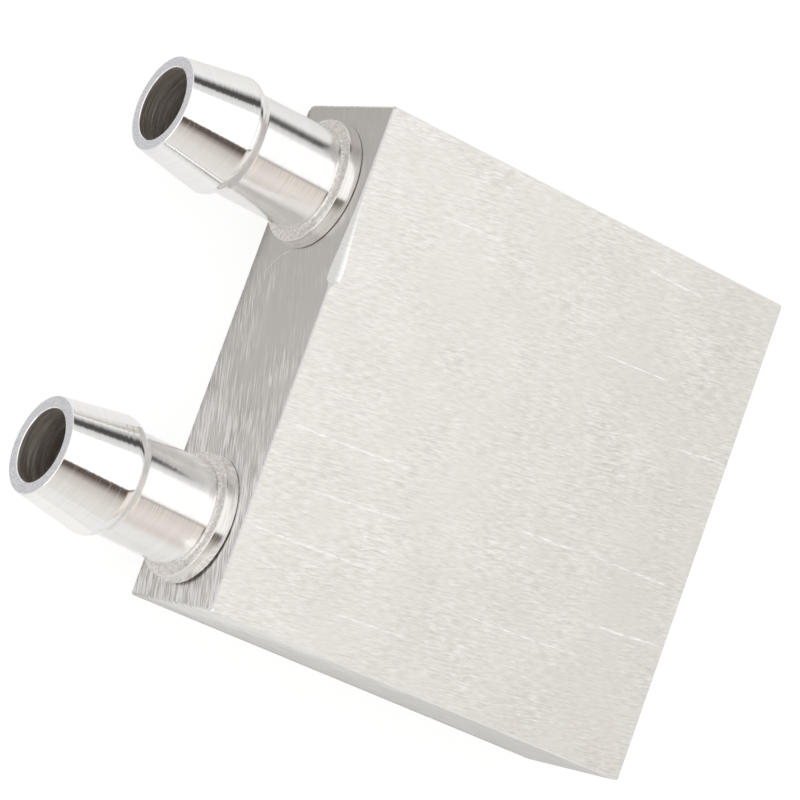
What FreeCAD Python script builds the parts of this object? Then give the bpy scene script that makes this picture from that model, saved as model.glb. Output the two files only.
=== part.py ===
import FreeCAD, Part
import os

# Liquid cooling cold plate: a milled aluminium block with a finned U-shaped coolant
# channel, an inlaid cover plate that closes the channel, and two turned hose nozzles.
#
# Frame, millimetres: the origin is the centre of the back face, where the cover plate
# lies. +Z runs up through the plate to the cold face, and the nozzles point along -X.

import Sketcher

doc = FreeCAD.newDocument("cold_plate")

# ---------------------------------------------------------------- driving dimensions
SIZES = [
    # block
    ("block_length", 40.0, "along X, nozzle face to far face"),
    ("block_width", 40.0, "along Y"),
    ("block_thickness", 12.0, "back face to cold face"),
    ("corner_radius", 0.2, "upright outer corners"),
    ("edge_break", 0.12, "deburred outer edges"),
    # coolant channel, open to the back until the cover goes in
    ("cold_wall", 2.3, "metal between channel and cold face"),
    ("front_wall", 4.0, "nozzle face to channel"),
    ("far_wall", 3.0, "channel to far face"),
    ("side_wall", 2.5, "channel to side face"),
    ("divider_thickness", 3.0, "wall between the two passes"),
    ("turn_gap", 7.0, "past the divider's end, where the coolant turns"),
    ("channel_corner_radius", 1.5, "left by the end mill"),
    ("divider_tip_radius", 1.0, "rounded free end of the divider"),
    # fins
    ("fins_per_pass", 3, "number of fins in each pass"),
    ("fin_thickness", 1.2, ""),
    ("plenum_length", 6.0, "free space between port and fins"),
    ("fin_setback", 1.5, "fins end this far before the divider does"),
    # cover
    ("cover_thickness", 1.5, "depth of the rebate too"),
    ("cover_ledge", 1.2, "width that the cover rests on, all round"),
    ("rebate_corner_radius", 2.5, ""),
    ("cover_gap", 0.15, "bond line between cover and rebate wall"),
    ("bond_setback", 0.1, "cured filler lies this far below the back face"),
    # nozzles, measured from the block's nozzle face outwards
    ("nozzle_spacing", 26.8, "centre to centre"),
    ("nozzle_length", 15.1, "face of the block to the nozzle's tip"),
    ("nozzle_bore", 5.8, "diameter"),
    ("bore_chamfer", 0.12, "countersink at the tip"),
    ("tip_diameter", 7.6, ""),
    ("barb_diameter", 9.4, "crest that grips the hose"),
    ("barb_cone", 5.65, "length of the lead-in cone"),
    ("barb_land", 0.75, "cylindrical crest"),
    ("barb_flank", 0.9, "length of the slope behind the crest"),
    ("barb_round", 0.9, "rounding of the crest's back edge"),
    ("neck_diameter", 8.3, "where the hose clamp closes"),
    ("neck_fillet", 0.7, "neck to flange"),
    ("flange_diameter", 10.2, ""),
    ("flange_thickness", 1.1, ""),
    ("rim_chamfer", 0.12, "edges of the flange's rim"),
    ("spigot_diameter", 7.0, "part that sits in the block"),
    ("spigot_setback", 0.2, "spigot ends this far before the channel"),
    # nozzle seat
    ("port_clearance", 0.05, "radial, spigot to port"),
    ("seal_thickness", 0.1, "film between flange and block"),
    ("seal_inset", 0.3, "film ends this far inside the flange's rim"),
    # flat filed by hand on the edge between nozzle face and cold face
    ("filed_start", 14.0, "Y where the filed flat begins"),
    ("filed_widest", 6.8, "Y where it is widest"),
    ("filed_end", 5.2, "Y where it runs out"),
    ("filed_width", 0.75, "leg of the flat at its widest"),
    ("filed_runout", 0.06, "leg at both ends, inside the deburred edge"),
    ("tool_margin", 0.5, "how far a cutting shape stands outside the metal"),
]

sheet = doc.addObject("Spreadsheet::Sheet", "Sizes")
for row, (alias, value, note) in enumerate(SIZES, start=1):
    sheet.set("A%d" % row, alias)
    sheet.set("B%d" % row, str(value))
    sheet.set("C%d" % row, note)
    sheet.setAlias("B%d" % row, alias)
doc.recompute()


def bind(text):
    """Write size names in an expression as references to the sheet."""
    words = text.replace("(", " ( ").replace(")", " ) ").split()
    aliases = {alias for alias, value, note in SIZES}
    return " ".join("Sizes." + word if word in aliases else word for word in words)


# Sizes that follow from the driving ones, as expressions over the sheet
FACE_X = "( 0 - block_length / 2 )"
CHANNEL_NEAR = "( 0 - block_length / 2 + front_wall )"
CHANNEL_FAR = "( block_length / 2 - far_wall )"
CHANNEL_SIDE = "( block_width / 2 - side_wall )"
DIVIDER_HALF = "( divider_thickness / 2 )"
DIVIDER_END = "( block_length / 2 - far_wall - turn_gap )"
CHANNEL_TOP = "( block_thickness - cold_wall )"
PORT_HEIGHT = "( ( block_thickness - cold_wall + cover_thickness ) / 2 )"
FIN_GAP = ("( ( block_width / 2 - side_wall - divider_thickness / 2 - fins_per_pass * fin_thickness )"
           " / ( fins_per_pass + 1 ) )")


# ---------------------------------------------------------------- helpers
def new_body(label):
    """One sub-part, named for the node that it becomes."""
    body = doc.addObject("PartDesign::Body", label)
    body.Label = label
    return body


def origin_feature(body, role):
    """A plane or axis of the body's own origin."""
    return next(item for item in body.Origin.OriginFeatures if item.Role == role)


def new_sketch(body, name, role, lift="0"):
    """A sketch on one of the body's origin planes, moved along the plane's normal."""
    sketch = body.newObject("Sketcher::SketchObject", name)
    sketch.AttachmentSupport = [(origin_feature(body, role), "")]
    sketch.MapMode = "FlatFace"
    sketch.setExpression(".AttachmentOffset.Base.z", bind(lift))
    return sketch


def pin_point(sketch, geometry, point, across, up):
    """Hold a sketch point at two bound distances from the sketch's origin."""
    for kind, axis_line, text in (("DistanceX", -2, across), ("DistanceY", -1, up)):
        if text == "0":
            sketch.addConstraint(Sketcher.Constraint("PointOnObject", geometry, point, axis_line))
            continue
        value = sketch.evalExpression(bind(text))
        index = sketch.addConstraint(Sketcher.Constraint(kind, -1, 1, geometry, point, float(value)))
        sketch.setExpression("Constraints[%d]" % index, bind(text))


def add_outline(sketch, corners):
    """A closed outline of straight lines, each corner a pair of size expressions."""
    places = [FreeCAD.Vector(*(float(sketch.evalExpression(bind(text))) for text in corner), 0)
              for corner in corners]
    first = sketch.GeometryCount
    count = len(corners)
    for index in range(count):
        line = Part.LineSegment(places[index], places[(index + 1) % count])
        sketch.addGeometry(line, False)
    for index in range(count):
        following = first + (index + 1) % count
        sketch.addConstraint(Sketcher.Constraint("Coincident", first + index, 2, following, 1))
    for index, (across, up) in enumerate(corners):
        pin_point(sketch, first + index, 1, across, up)


def rectangle(left, right, low, high):
    return [(left, low), (right, low), (right, high), (left, high)]


def centred_rectangle(length, width):
    return rectangle("0 - %s / 2" % length, "%s / 2" % length, "0 - %s / 2" % width, "%s / 2" % width)


def extrude(body, kind, name, sketch, length):
    """A Pad or a Pocket of bound length. A pad grows along +Z, and so does a pocket's cut."""
    feature = body.newObject("PartDesign::" + kind, name)
    feature.Profile = sketch
    feature.setExpression("Length", bind(length))
    feature.Reversed = kind == "Pocket"
    sketch.Visibility = False
    doc.recompute()
    return feature


def dress(body, kind, name, size, wanted):
    """Fillet or chamfer the edges of the body's tip that the test picks."""
    base = body.Tip
    names = ["Edge%d" % number for number, edge in enumerate(base.Shape.Edges, start=1) if wanted(edge)]
    if not names:
        raise RuntimeError("no edge found for %s" % name)
    feature = body.newObject("PartDesign::" + kind, name)
    feature.Base = (base, names)
    feature.setExpression("Radius" if kind == "Fillet" else "Size", bind(size))
    doc.recompute()
    return feature


def size_of(text):
    """The value of a size expression, for picking edges."""
    return float(sheet.evalExpression(text_on_sheet(text)))


def text_on_sheet(text):
    return bind(text).replace("Sizes.", "")


def near(value, target):
    return abs(value - target) < 0.01


def is_upright(edge):
    """True for a straight edge along Z."""
    ends = edge.BoundBox
    return ends.XLength < 0.001 and ends.YLength < 0.001 and ends.ZLength > 0.001


def lies_at_height(edge, height):
    ends = edge.BoundBox
    return near(ends.ZMin, height) and near(ends.ZMax, height)


def is_ring(edge, place, radius):
    """True for a full circle about the X axis, at a given place and radius."""
    circle = edge.Curve
    if not isinstance(circle, Part.Circle):
        return False
    return near(circle.Center.x, place) and near(circle.Radius, radius)


# ---------------------------------------------------------------- block
def cut_channel(body):
    """The rebate for the cover, then the U-shaped channel with its divider wall."""
    rebate = new_sketch(body, "RebateOutline", "XY_Plane")
    add_outline(rebate, rectangle("%s - cover_ledge" % CHANNEL_NEAR, "%s + cover_ledge" % CHANNEL_FAR,
                                  "0 - %s - cover_ledge" % CHANNEL_SIDE, "%s + cover_ledge" % CHANNEL_SIDE))
    extrude(body, "Pocket", "Rebate", rebate, "cover_thickness")
    rebate_side = size_of("%s + cover_ledge" % CHANNEL_SIDE)
    dress(body, "Fillet", "RebateCorners", "rebate_corner_radius",
          lambda edge: is_upright(edge) and near(abs(edge.CenterOfMass.y), rebate_side))

    outline = new_sketch(body, "ChannelOutline", "XY_Plane")
    add_outline(outline, [
        (CHANNEL_NEAR, "0 - %s" % CHANNEL_SIDE), (CHANNEL_FAR, "0 - %s" % CHANNEL_SIDE),
        (CHANNEL_FAR, CHANNEL_SIDE), (CHANNEL_NEAR, CHANNEL_SIDE),
        (CHANNEL_NEAR, DIVIDER_HALF), (DIVIDER_END, DIVIDER_HALF),
        (DIVIDER_END, "0 - %s" % DIVIDER_HALF), (CHANNEL_NEAR, "0 - %s" % DIVIDER_HALF)])
    extrude(body, "Pocket", "Channel", outline, CHANNEL_TOP)
    floor_height = size_of(CHANNEL_TOP)
    divider_end = size_of(DIVIDER_END)

    def is_channel_corner(edge):
        return is_upright(edge) and near(edge.BoundBox.ZMax, floor_height)

    dress(body, "Fillet", "ChannelCorners", "channel_corner_radius",
          lambda edge: is_channel_corner(edge) and not near(edge.CenterOfMass.x, divider_end))
    dress(body, "Fillet", "DividerTip", "divider_tip_radius",
          lambda edge: is_channel_corner(edge) and near(edge.CenterOfMass.x, divider_end))


def grow_fins(body, pass_name, side):
    """A row of thin lengthwise fins, from the channel's floor to the cover's seat."""
    sign = "" if side > 0 else "0 - "
    inner = "%s( %s + %s )" % (sign, DIVIDER_HALF, FIN_GAP)
    outer = "%s( %s + %s + fin_thickness )" % (sign, DIVIDER_HALF, FIN_GAP)
    outline = new_sketch(body, pass_name + "FinOutline", "XY_Plane", "cover_thickness")
    add_outline(outline, rectangle("%s + plenum_length" % CHANNEL_NEAR, "%s - fin_setback" % DIVIDER_END,
                                   inner, outer))
    fin = extrude(body, "Pad", pass_name + "Fin", outline, "%s - cover_thickness" % CHANNEL_TOP)
    row = body.newObject("PartDesign::LinearPattern", pass_name + "FinRow")
    row.Originals = [fin]
    row.Direction = (origin_feature(body, "Y_Axis"), [""])
    row.Reversed = side < 0
    row.setExpression("Length", bind("( %s + fin_thickness ) * ( fins_per_pass - 1 )" % FIN_GAP))
    row.setExpression("Occurrences", bind("fins_per_pass"))
    body.Tip = row
    doc.recompute()


def bore_ports(body):
    """Two round ports from the nozzle face into the channel."""
    ports = new_sketch(body, "PortCircles", "YZ_Plane", FACE_X)
    radius = "spigot_diameter / 2 + port_clearance"
    for index, sign in enumerate(("", "0 - ")):
        circle = Part.Circle(FreeCAD.Vector(size_of(sign + "nozzle_spacing / 2"), size_of(PORT_HEIGHT), 0),
                             FreeCAD.Vector(0, 0, 1), size_of(radius))
        sketch_index = ports.addGeometry(circle, False)
        pin_point(ports, sketch_index, 3, sign + "nozzle_spacing / 2", PORT_HEIGHT)
        size_index = ports.addConstraint(Sketcher.Constraint("Radius", sketch_index, size_of(radius)))
        ports.setExpression("Constraints[%d]" % size_index, bind(radius))
    extrude(body, "Pocket", "Ports", ports, "front_wall + channel_corner_radius")


def file_edge(body):
    """The uneven flat filed along part of the edge between nozzle face and cold face."""
    sections = []
    for name, place, leg in (("Start", "filed_start", "filed_runout"),
                             ("Widest", "filed_widest", "filed_width"),
                             ("End", "filed_end", "filed_runout")):
        section = new_sketch(body, "Filed" + name, "XZ_Plane", "0 - " + place)
        add_outline(section, [
            ("%s - tool_margin" % FACE_X, "block_thickness - %s - tool_margin" % leg),
            ("%s + %s + tool_margin" % (FACE_X, leg), "block_thickness + tool_margin"),
            ("%s - tool_margin" % FACE_X, "block_thickness + tool_margin")])
        sections.append(section)
    doc.recompute()
    flat = body.newObject("PartDesign::SubtractiveLoft", "FiledFlat")
    flat.Profile = sections[0]
    flat.Sections = sections[1:]
    flat.Ruled = True
    doc.recompute()


def make_block():
    body = new_body("block_body")
    outline = new_sketch(body, "BlockOutline", "XY_Plane")
    add_outline(outline, centred_rectangle("block_length", "block_width"))
    extrude(body, "Pad", "Blank", outline, "block_thickness")
    dress(body, "Fillet", "UprightCorners", "corner_radius", is_upright)
    thickness = size_of("block_thickness")
    dress(body, "Chamfer", "DeburredEdges", "edge_break",
          lambda edge: lies_at_height(edge, 0) or lies_at_height(edge, thickness))
    cut_channel(body)
    grow_fins(body, "Inlet", +1)
    grow_fins(body, "Outlet", -1)
    bore_ports(body)
    file_edge(body)
    return body


# ---------------------------------------------------------------- cover
def cover_rectangle(inset):
    """The rebate's outline, drawn in by an inset."""
    return rectangle("%s - cover_ledge + %s" % (CHANNEL_NEAR, inset),
                     "%s + cover_ledge - %s" % (CHANNEL_FAR, inset),
                     "0 - %s - cover_ledge + %s" % (CHANNEL_SIDE, inset),
                     "%s + cover_ledge - %s" % (CHANNEL_SIDE, inset))


def make_cover():
    body = new_body("cover_plate")
    outline = new_sketch(body, "CoverOutline", "XY_Plane")
    add_outline(outline, cover_rectangle("cover_gap"))
    extrude(body, "Pad", "CoverBlank", outline, "cover_thickness")
    dress(body, "Fillet", "CoverCorners", "rebate_corner_radius - cover_gap", is_upright)
    return body


def make_bond_line():
    """The frame of cured filler between the cover's edge and the rebate's wall."""
    body = new_body("cover_bond_line")
    outline = new_sketch(body, "BondOutline", "XY_Plane", "bond_setback")
    add_outline(outline, cover_rectangle("0"))
    add_outline(outline, cover_rectangle("cover_gap"))
    extrude(body, "Pad", "BondFrame", outline, "cover_thickness - bond_setback")
    outer_side = size_of("%s + cover_ledge" % CHANNEL_SIDE)
    inner_side = size_of("%s + cover_ledge - cover_gap" % CHANNEL_SIDE)
    dress(body, "Fillet", "BondOuterCorners", "rebate_corner_radius",
          lambda edge: is_upright(edge) and near(abs(edge.CenterOfMass.y), outer_side))
    dress(body, "Fillet", "BondInnerCorners", "rebate_corner_radius - cover_gap",
          lambda edge: is_upright(edge) and near(abs(edge.CenterOfMass.y), inner_side))
    return body


# ---------------------------------------------------------------- nozzles
def turn(body, name, corners):
    """Revolve a half profile about the body's X axis, as on a lathe."""
    profile = new_sketch(body, name + "Profile", "XY_Plane")
    add_outline(profile, corners)
    feature = body.newObject("PartDesign::Revolution", name)
    feature.Profile = profile
    feature.ReferenceAxis = (profile, ["H_Axis"])
    doc.recompute()


def seat_on_port(body, side):
    """Put a turned piece at its port: local X = 0 is the block's nozzle face."""
    sign = "" if side > 0 else "0 - "
    body.setExpression(".Placement.Base.x", bind(FACE_X))
    body.setExpression(".Placement.Base.y", bind(sign + "nozzle_spacing / 2"))
    body.setExpression(".Placement.Base.z", bind(PORT_HEIGHT))
    doc.recompute()


def make_nozzle(label, side):
    """Hose nozzle: spigot, flange, plain neck and a barb that narrows to the tip."""
    body = new_body(label)
    flange_back = "0 - seal_thickness"
    flange_front = "0 - seal_thickness - flange_thickness"
    tip = "0 - nozzle_length"
    cone_end = "0 - nozzle_length + barb_cone"
    land_end = "0 - nozzle_length + barb_cone + barb_land"
    flank_end = "0 - nozzle_length + barb_cone + barb_land + barb_flank"
    spigot_end = "front_wall - spigot_setback"
    turn(body, "Turned", [
        (spigot_end, "nozzle_bore / 2"), (spigot_end, "spigot_diameter / 2"),
        (flange_back, "spigot_diameter / 2"), (flange_back, "flange_diameter / 2"),
        (flange_front, "flange_diameter / 2"), (flange_front, "neck_diameter / 2"),
        (flank_end, "neck_diameter / 2"), (land_end, "barb_diameter / 2"),
        (cone_end, "barb_diameter / 2"), (tip, "tip_diameter / 2"), (tip, "nozzle_bore / 2")])
    neck_root = size_of(flange_front)
    rim_radius = size_of("flange_diameter / 2")
    dress(body, "Fillet", "NeckFillet", "neck_fillet",
          lambda edge: is_ring(edge, neck_root, size_of("neck_diameter / 2")))
    dress(body, "Fillet", "BarbRound", "barb_round",
          lambda edge: is_ring(edge, size_of(land_end), size_of("barb_diameter / 2")))
    rim_back = size_of(flange_back)
    dress(body, "Chamfer", "RimEdges", "rim_chamfer",
          lambda edge: is_ring(edge, neck_root, rim_radius) or is_ring(edge, rim_back, rim_radius))
    dress(body, "Chamfer", "BoreMouth", "bore_chamfer",
          lambda edge: is_ring(edge, size_of(tip), size_of("nozzle_bore / 2")))
    seat_on_port(body, side)
    return body


def make_seal(label, side):
    """Cured sealant: a thin film between the nozzle's flange and the block."""
    body = new_body(label)
    film_radius = "flange_diameter / 2 - seal_inset"
    turn(body, "Film", rectangle("0 - seal_thickness", "0", "spigot_diameter / 2", film_radius))
    seat_on_port(body, side)
    return body


# ---------------------------------------------------------------- assembly and export
pieces = [
    make_block(),
    make_cover(),
    make_bond_line(),
    make_nozzle("inlet_nozzle", +1),
    make_nozzle("outlet_nozzle", -1),
    make_seal("inlet_seal", +1),
    make_seal("outlet_seal", -1),
]
doc.recompute()

failed = [item.Name for item in doc.Objects if "Invalid" in item.State or "Error" in item.State]
failed += [piece.Label for piece in pieces if piece.Shape.isNull() or not piece.Shape.isValid()]
if failed:
    raise RuntimeError("not built: " + ", ".join(failed))

os.makedirs("parts", exist_ok=True)
for piece in pieces:
    piece.Shape.exportStep("parts/%s.step" % piece.Label)
    print("%-16s solids %d  volume %.2f mm3" % (piece.Label, len(piece.Shape.Solids), piece.Shape.Volume))
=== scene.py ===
import math

import bmesh
import bpy
import numpy as np
from mathutils import Matrix, Vector


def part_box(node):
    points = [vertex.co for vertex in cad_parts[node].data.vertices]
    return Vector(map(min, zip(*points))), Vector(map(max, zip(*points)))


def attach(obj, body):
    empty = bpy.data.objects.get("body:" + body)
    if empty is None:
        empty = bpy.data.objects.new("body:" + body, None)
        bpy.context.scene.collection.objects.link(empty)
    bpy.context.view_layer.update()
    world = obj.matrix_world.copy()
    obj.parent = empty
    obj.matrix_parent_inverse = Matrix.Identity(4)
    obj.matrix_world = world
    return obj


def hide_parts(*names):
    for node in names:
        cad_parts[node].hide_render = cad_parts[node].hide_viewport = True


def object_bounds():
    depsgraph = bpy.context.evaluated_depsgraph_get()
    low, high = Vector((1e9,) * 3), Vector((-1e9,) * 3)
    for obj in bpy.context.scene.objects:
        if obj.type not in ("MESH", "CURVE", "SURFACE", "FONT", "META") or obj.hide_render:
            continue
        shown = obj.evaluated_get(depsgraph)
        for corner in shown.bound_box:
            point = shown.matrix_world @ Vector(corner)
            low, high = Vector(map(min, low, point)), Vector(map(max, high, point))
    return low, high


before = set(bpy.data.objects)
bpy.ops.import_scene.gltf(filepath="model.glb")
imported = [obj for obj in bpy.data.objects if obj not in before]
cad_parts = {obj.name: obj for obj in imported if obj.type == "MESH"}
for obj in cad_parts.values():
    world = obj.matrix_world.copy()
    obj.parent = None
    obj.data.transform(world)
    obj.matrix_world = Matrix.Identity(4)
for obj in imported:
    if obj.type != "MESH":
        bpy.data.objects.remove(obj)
cadLow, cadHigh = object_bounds()  # the CAD model's box
mm = 0.001  # metres
hair = 1e-6  # allows for rounding errors
print("frame loaded:", ", ".join(sorted(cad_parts)))


# small tools

def linear(hexColour):
    # sRGB hex to linear light: c / 12.92 near black, otherwise ((c + 0.055) / 1.055) to the power 2.4
    parts = [int(hexColour[i:i + 2], 16) / 255 for i in (1, 3, 5)]
    return [c / 12.92 if c <= 0.04045 else ((c + 0.055) / 1.055) ** 2.4 for c in parts] + [1.0]


def addNode(tree, kind, settings=None, links=None):
    # a setting is the node's own property, or else an input socket by name or number; links go to inputs
    node = tree.nodes.new(kind)
    for name, value in (settings or {}).items():
        if name == "stops":  # colour ramp: (place, hex)
            ramp = node.color_ramp
            while len(ramp.elements) < len(value):
                ramp.elements.new(0.5)
            for element, (place, colour) in zip(ramp.elements, value):
                element.position, element.color = place, linear(colour)
        elif isinstance(name, str) and hasattr(node, name):
            setattr(node, name, value)
        else:
            node.inputs[name].default_value = value
    for name, source in (links or {}).items():
        tree.links.new(source, node.inputs[name])
    return node


def newMaterial(name):
    material = bpy.data.materials.new(name)
    material.use_nodes = True
    material.node_tree.nodes.clear()
    return material, material.node_tree


def meshPiece(name, points, faces, materials, materialOfFace=None, smooth=True):
    # a mesh object at the origin, with its place in its vertices (metres)
    mesh = bpy.data.meshes.new(name)
    mesh.from_pydata(points.tolist(), [], faces)
    for material in materials:
        mesh.materials.append(material)
    if materialOfFace is not None:
        mesh.polygons.foreach_set("material_index", np.asarray(materialOfFace, np.int32))
    mesh.polygons.foreach_set("use_smooth", np.full(len(mesh.polygons), smooth))
    mesh.update()
    piece = bpy.data.objects.new(name, mesh)
    bpy.context.scene.collection.objects.link(piece)
    return piece


def wander(places, pitch, seed):
    # smooth wavering between -1 and 1: a random value every pitch, joined by cosine steps
    steps = np.asarray(places) / pitch
    low = np.floor(steps).astype(int)
    values = np.random.default_rng(seed).uniform(-1, 1, low.max() - low.min() + 2)
    share = (1 - np.cos(np.pi * (steps - low))) / 2
    index = low - low.min()
    return values[index] * (1 - share) + values[index + 1] * share


# camera

shot = {
    "place": (-171.56, -43.66, 266.9),  # mm
    "toward": (0.5278, 0.1436, -0.8371),
    "roll": 96.97,  # degrees, the plate is seen turned on its corner
    "lens": 183.4,  # mm
    "sensor": 36,  # mm
    "clipStart": 0.01,  # metres
}
camera = bpy.data.objects.new("camera", bpy.data.cameras.new("camera"))
bpy.context.scene.collection.objects.link(camera)
camera.data.lens = shot["lens"]
camera.data.sensor_width = shot["sensor"]
camera.data.clip_start = shot["clipStart"]
turned = Vector(shot["toward"]).to_track_quat("-Z", "Y").to_matrix()
turned = turned @ Matrix.Rotation(math.radians(shot["roll"]), 3, "Z")
camera.matrix_world = Matrix.Translation(Vector(shot["place"]) * mm) @ turned.to_4x4()
bpy.context.scene.camera = camera


# studio: white floor, one big overhead softbox, pale surroundings, and cards that the metal mirrors

studio = {  # lengths in metres
    "floorSize": 6.0,
    "floorGap": 0.00002,  # floor below the part
    "floorColour": "#F4F4F3",
    "floorWhite": 1.12,  # strength of the white that the camera sees on the floor
    "shadowShare": 0.25,  # how much of the floor's own shading the camera sees
    "surroundings": "#ECEBEA",
    "boxRadiance": 0.28,  # added to the surroundings behind it
    "boxHeight": 0.6,
    "boxAcross": (-0.19, 0.80),  # Y from edge to edge
    "boxAlong": (-0.35, 1.05),  # X from edge to edge
    "strayPitch": 0.012,  # length of the strays in a ragged card's tones
    "strayDetail": 2.0,
}

bpy.context.scene.view_settings.view_transform = "Standard"

world = bpy.data.worlds.new("paleStudio")
bpy.context.scene.world = world
world.use_nodes = True
tree = world.node_tree
tree.nodes.clear()
rays = addNode(tree, "ShaderNodeLightPath")
seen = addNode(tree, "ShaderNodeBackground", {"Color": linear("#FFFFFF"), "Strength": 1.0})
glow = addNode(tree, "ShaderNodeBackground", {"Color": linear(studio["surroundings"]), "Strength": 1.0})
both = addNode(tree, "ShaderNodeMixShader",
               links={"Fac": rays.outputs["Is Camera Ray"], 1: glow.outputs[0], 2: seen.outputs[0]})
addNode(tree, "ShaderNodeOutputWorld", links={"Surface": both.outputs[0]})

floorMaterial, tree = newMaterial("whitePaperFloor")
rays = addNode(tree, "ShaderNodeLightPath")
paper = addNode(tree, "ShaderNodeBsdfDiffuse", {"Color": linear(studio["floorColour"])})
white = addNode(tree, "ShaderNodeEmission", {"Color": linear("#FFFFFF"), "Strength": studio["floorWhite"]})
share = addNode(tree, "ShaderNodeMath", {"operation": "MULTIPLY", 1: 1 - studio["shadowShare"]},
                {0: rays.outputs["Is Camera Ray"]})
both = addNode(tree, "ShaderNodeMixShader",
               links={"Fac": share.outputs[0], 1: paper.outputs[0], 2: white.outputs[0]})
addNode(tree, "ShaderNodeOutputMaterial", links={"Surface": both.outputs[0]})

half = studio["floorSize"] / 2
floorTop = cadLow.z - studio["floorGap"]
corners = [(-half, -half, floorTop), (half, -half, floorTop), (half, half, floorTop), (-half, half, floorTop)]
floor = meshPiece("floor", np.array(corners), [(0, 1, 2, 3)], [floorMaterial])

lowY, highY = studio["boxAcross"]
lowX, highX = studio["boxAlong"]
softbox = bpy.data.objects.new("softbox", bpy.data.lights.new("softbox", "AREA"))
softbox.data.shape = "RECTANGLE"
softbox.data.size, softbox.data.size_y = highX - lowX, highY - lowY
softbox.data.energy = studio["boxRadiance"] * math.pi * (highX - lowX) * (highY - lowY)
softbox.location = ((lowX + highX) / 2, (lowY + highY) / 2, studio["boxHeight"])
bpy.context.scene.collection.objects.link(softbox)

cards = {
    # corners in metres, in order round the card; the tone runs from the first two corners to the last two,
    # and ragged is how far its stops stray along X, which gives the turned rings their toothed reflections
    "farCard": {
        "corners": [(-0.16, 0.45, 0.01), (0.72, 0.45, 0.01), (0.72, 0.34, 0.31), (-0.16, 0.34, 0.31)],
        "stops": [(0.0, "#EAEAEB"), (0.1, "#E2E2E3"), (0.34, "#5A5858"), (0.42, "#4A4847"), (0.6, "#545150"),
                  (0.68, "#D8D8D8"), (1.0, "#E6E6E6")],
        "ragged": 0.2,
    },
    "nearCard": {
        "corners": [(-0.16, -0.124, 0.43), (0.9, -0.085, 0.46), (0.9, -0.44, 0.06), (-0.16, -0.44, 0.06)],
        "stops": [(0.0, "#5A4F4A"), (0.14, "#5D534D"), (0.34, "#C9C3BC"), (0.6, "#E0DCD6"), (1.0, "#E6E3DF")],
        "farStops": [(0.0, "#6A615B"), (0.05, "#8A817A"), (0.085, "#EBE2DB"), (0.5, "#F2EAE3"),
                     (0.78, "#D6CDC5"), (1.0, "#E8E4DF")],
        "farFrom": (0.08, 0.2),  # X over which the far stops take over
        "ragged": 0.1,
    },
    "lowCard": {  # below the necks, a painted reflection of the floor there
        "corners": [(-0.0318, 0.0225, 0.0002), (-0.0203, 0.0225, 0.0002), (-0.0203, -0.03, 0.0002),
                    (-0.0318, -0.03, 0.0002)],
        "stops": [(0.0, "#ECEAE8"), (0.45, "#F0EEED"), (1.0, "#F8F6F4")],
    },
    "tipCard": {  # below the tips, a painted reflection of the floor there
        "corners": [(-0.30, 0.03, 0.0002), (-0.0318, 0.03, 0.0002), (-0.0318, -0.04, 0.0002),
                    (-0.30, -0.04, 0.0002)],
        "stops": [(0.0, "#EAEAEC"), (1.0, "#EAEAEC")],
    },
    "paleCard": {
        "corners": [(-0.6, -0.15, 0.42), (-0.17, -0.15, 0.42), (-0.17, -0.46, 0.0), (-0.6, -0.46, 0.0)],
        "stops": [(0.0, "#FFFFFF"), (1.0, "#FFFFFF")], "strength": 1.5,
    },
    "paintedFaceReflection": {  # a painted reflection just before the nozzle face, seen by that face alone and only in its first reflection
        "corners": [(-0.02035, -0.021, 0.0), (-0.02035, 0.021, 0.0), (-0.02035, 0.021, 0.0123),
                    (-0.02035, -0.021, 0.0123)],
        "stops": [(0.0, "#D5D3D1"), (1.0, "#D8D6D4")], "oneWay": True,
    },
    "edgeCard": {
        "corners": [(-0.45, -0.35, 0.15), (-0.45, 0.5, 0.15), (-0.35, 0.5, 0.5), (-0.35, -0.35, 0.5)],
        "stops": [(0.0, "#FFFFFF"), (1.0, "#FFFFFF")], "strength": 1.08,
    },
    "sideCard": {  # along the foot of the -Y side, a painted reflection of the floor there
        "corners": [(-0.024, -0.0203, 0.0002), (0.03, -0.0203, 0.0002), (0.03, -0.030, 0.0002),
                    (-0.024, -0.030, 0.0002)],
        "stops": [(0.0, "#E6E5E3"), (1.0, "#E8E7E5")],
    },
}
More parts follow.
